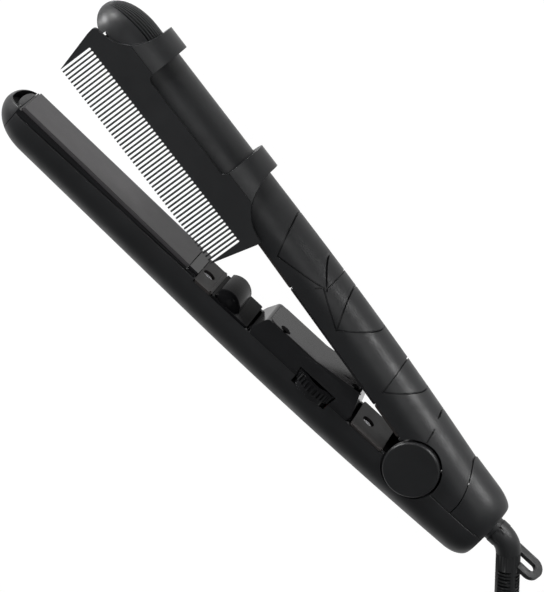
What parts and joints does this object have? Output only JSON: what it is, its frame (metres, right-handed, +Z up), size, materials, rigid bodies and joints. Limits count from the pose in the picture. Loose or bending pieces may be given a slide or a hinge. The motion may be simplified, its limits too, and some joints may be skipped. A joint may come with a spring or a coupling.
{
  "type": "hair straightener",
  "caption": "Slim hair straightener with two floating plates, a slide-off comb beside them, an edge wheel for the heat and a swivelling mains lead, open and lying on its side.",
  "frame": {"origin": "on the hinge axis, in the flat face of the far hinge cap that it lies on", "axes": "+Z up along the hinge pin, +X along the lower arm from the hinge to the nose, +Y towards the back of the lower arm"},
  "size_m": [0.4824, 0.1246, 0.0362],
  "materials": {
    "body": "fine satin, moulded",
    "gloss": "polished",
    "panel": "fine satin",
    "lid": "smooth satin gloss",
    "plate": "smooth ceramic coat",
    "carrier": "extruded",
    "steel": "bright",
    "brass": "bright",
    "spring": "drawn wire",
    "heater": "unglazed",
    "silicone": "matt",
    "sensor": "sealed bead",
    "fuse": "glazed sleeve",
    "board": "resin laminate with a few parts",
    "trimmer": "moulded",
    "light": "clear red",
    "lead": "silicone insulation",
    "comb": "fine satin, moulded",
    "boot": "fine satin",
    "cord": "satin sheath",
    "tie": "satin strap",
    "plug": "fine satin"
  },
  "bodies": {
    "lower_arm": {"lower_shell": "body", "lower_tip_cap": "body", "rear_cap": "body", "lower_plate_holder": "gloss", "lower_plate_pads": "silicone", "front_panel": "panel", "guide_block": "gloss", "control_housing": "gloss", "control_cover": "lid", "rear_panel": "panel", "cover_screws": "steel", "potentiometer": "trimmer", "control_board": "board", "indicator_light": "light", "lower_leads": "lead", "mains_leads": "lead", "hinge_pin": "steel", "near_hinge_cap": "body", "far_hinge_cap": "body", "hinge_spring": "spring", "hinge_washers": "brass", "swivel_socket": "body", "swivel_contacts": "brass"},
    "lower_plate_body": {"lower_plate": "plate", "lower_heat_carrier": "carrier", "lower_heater": "heater", "plate_sensor": "sensor"},
    "upper_arm": {"upper_shell": "body", "upper_tip_cap": "body", "upper_plate_holder": "gloss", "upper_plate_pads": "silicone", "upper_front_panel": "panel", "upper_pocket": "gloss", "upper_rear_panel": "panel", "upper_screws": "steel", "upper_leads": "lead", "thermal_fuse": "fuse"},
    "upper_plate_body": {"upper_plate": "plate", "upper_heat_carrier": "carrier", "upper_heater": "heater"},
    "comb": {"comb_attachment": "comb"},
    "wheel": {"temperature_wheel": "gloss"},
    "swivel": {"swivel_neck": "body", "cord_boot": "boot", "boot_contacts": "brass", "mains_cord": "cord", "plug_lead": "cord", "cord_coil": "cord", "cord_tie": "tie", "plug_body": "plug", "plug_pins": "brass"}
  },
  "joints": [
    {"name": "arm_hinge", "type": "hinge", "parent": "lower_arm", "child": "upper_arm", "pos_m": [0, 0, 0.0165], "axis": [0, 0, 1], "range_deg": [0, 12.2], "stiffness_Nm_per_rad": 0.8, "springref_deg": -34.38},
    {"name": "lower_plate_float", "type": "slide", "parent": "lower_arm", "child": "lower_plate_body", "axis": [0.0209, 0.9998, 0], "range_m": [0, 0.001], "stiffness_N_per_m": 800, "springref_m": -0.002},
    {"name": "upper_plate_float", "type": "slide", "parent": "upper_arm", "child": "upper_plate_body", "axis": [-0.2351, -0.972, 0], "range_m": [0, 0.001], "stiffness_N_per_m": 800, "springref_m": -0.002},
    {"name": "comb_slide", "type": "slide", "parent": "upper_arm", "child": "comb", "axis": [0.9834, -0.1814, 0], "range_m": [0, 0.105]},
    {"name": "wheel_turn", "type": "hinge", "parent": "lower_arm", "child": "wheel", "pos_m": [0.0558, 0.0038, 0.0257], "axis": [0, 1, 0], "range_deg": [-135, 135]},
    {"name": "cord_swivel", "type": "hinge", "parent": "lower_arm", "child": "swivel", "pos_m": [-0.0445, 0, 0.0165], "axis": [-1, 0, 0], "continuous": true}
  ]
}
